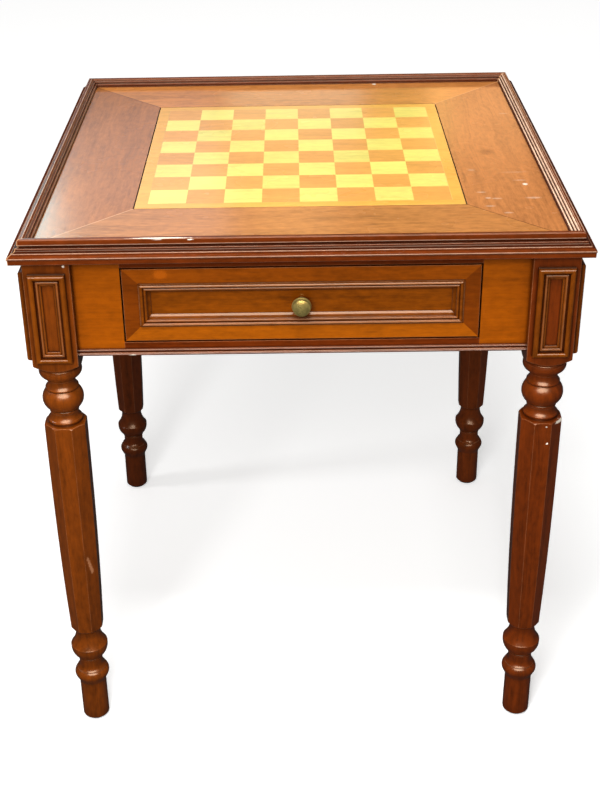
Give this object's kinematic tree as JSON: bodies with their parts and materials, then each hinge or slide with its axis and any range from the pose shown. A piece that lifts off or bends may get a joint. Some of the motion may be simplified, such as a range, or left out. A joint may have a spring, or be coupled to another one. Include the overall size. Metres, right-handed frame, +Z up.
{
  "type": "gaming table",
  "caption": "Square four-legged gaming table: raised-lip top with a lift-out chequered board panel, turned and octagonal legs, and a front drawer with a knob.",
  "frame": {"origin": "on the floor under the middle of the table", "axes": "+Z up, the drawer front faces -Y and the drawer opens towards -Y, +X to the right for someone facing the drawer"},
  "size_m": [0.7, 0.7, 0.762],
  "materials": {
    "edge_moulding_wood": "dark red-brown stain under satin lacquer, worn bright on the arrises",
    "field_wood": "mahogany stain under glossy lacquer",
    "leg_wood": "medium brown stain under satin lacquer",
    "frame_wood": "medium brown stain with dark glaze in the grooves",
    "bead_wood": "dark stain, worn along the reeds",
    "apron_wood": "orange-brown stain under satin lacquer",
    "drawer_front_wood": "orange-brown stain under satin lacquer",
    "drawer_moulding_wood": "red-brown stain with dark glaze in the grooves",
    "light_square_wood": "yellow veneer under glossy lacquer",
    "dark_square_wood": "tan-orange veneer under glossy lacquer",
    "panel_border_wood": "golden veneer under glossy lacquer",
    "inner_wood": "unfinished pale secondary wood",
    "antique_brass": "aged, olive-toned, softly polished",
    "steel": "zinc plated",
    "glide_plastic": "matt"
  },
  "bodies": {
    "table_frame": {"apron_back": "apron_wood", "apron_bead_back": "bead_wood", "apron_bead_front": "bead_wood", "apron_bead_left": "bead_wood", "apron_bead_right": "bead_wood", "apron_left": "apron_wood", "apron_right": "apron_wood", "block_frames_back_left": "frame_wood", "block_frames_back_right": "frame_wood", "block_frames_front_left": "frame_wood", "block_frames_front_right": "frame_wood", "corner_block_screws": "steel", "corner_blocks": "inner_wood", "drawer_kicker_left": "inner_wood", "drawer_kicker_right": "inner_wood", "drawer_runner_left": "inner_wood", "drawer_runner_right": "inner_wood", "drawer_stop_blocks": "inner_wood", "edge_moulding_back": "edge_moulding_wood", "edge_moulding_front": "edge_moulding_wood", "edge_moulding_left": "edge_moulding_wood", "edge_moulding_right": "edge_moulding_wood", "field_board_back": "field_wood", "field_board_front": "field_wood", "field_board_left": "field_wood", "field_board_right": "field_wood", "foot_glides": "glide_plastic", "front_bottom_rail": "apron_wood", "front_stile_left": "apron_wood", "front_stile_right": "apron_wood", "front_top_rail": "apron_wood", "leg_back_left": "leg_wood", "leg_back_right": "leg_wood", "leg_bolts": "steel", "leg_front_left": "leg_wood", "leg_front_right": "leg_wood", "panel_ledge_back": "inner_wood", "panel_ledge_front": "inner_wood", "panel_ledge_left": "inner_wood", "panel_ledge_right": "inner_wood"},
    "drawer": {"drawer_border_bottom": "drawer_front_wood", "drawer_border_right": "drawer_front_wood", "drawer_border_top": "drawer_front_wood", "drawer_border_left": "drawer_front_wood", "drawer_panel": "drawer_front_wood", "drawer_moulding": "drawer_moulding_wood", "drawer_box_front": "inner_wood", "drawer_side_left": "inner_wood", "drawer_side_right": "inner_wood", "drawer_back": "inner_wood", "drawer_bottom": "inner_wood", "knob": "antique_brass", "knob_screw": "steel"},
    "game_panel": {"game_panel_core": "inner_wood", "game_panel_border": "panel_border_wood", "squares_light": "light_square_wood", "squares_dark": "dark_square_wood"}
  },
  "joints": [
    {"name": "drawer_slide", "type": "slide", "parent": "table_frame", "child": "drawer", "axis": [0, -1, 0], "range_m": [0, 0.3]},
    {"name": "game_panel_lift", "type": "slide", "parent": "table_frame", "child": "game_panel", "axis": [0, 0, 1], "range_m": [0, 0.08]}
  ]
}
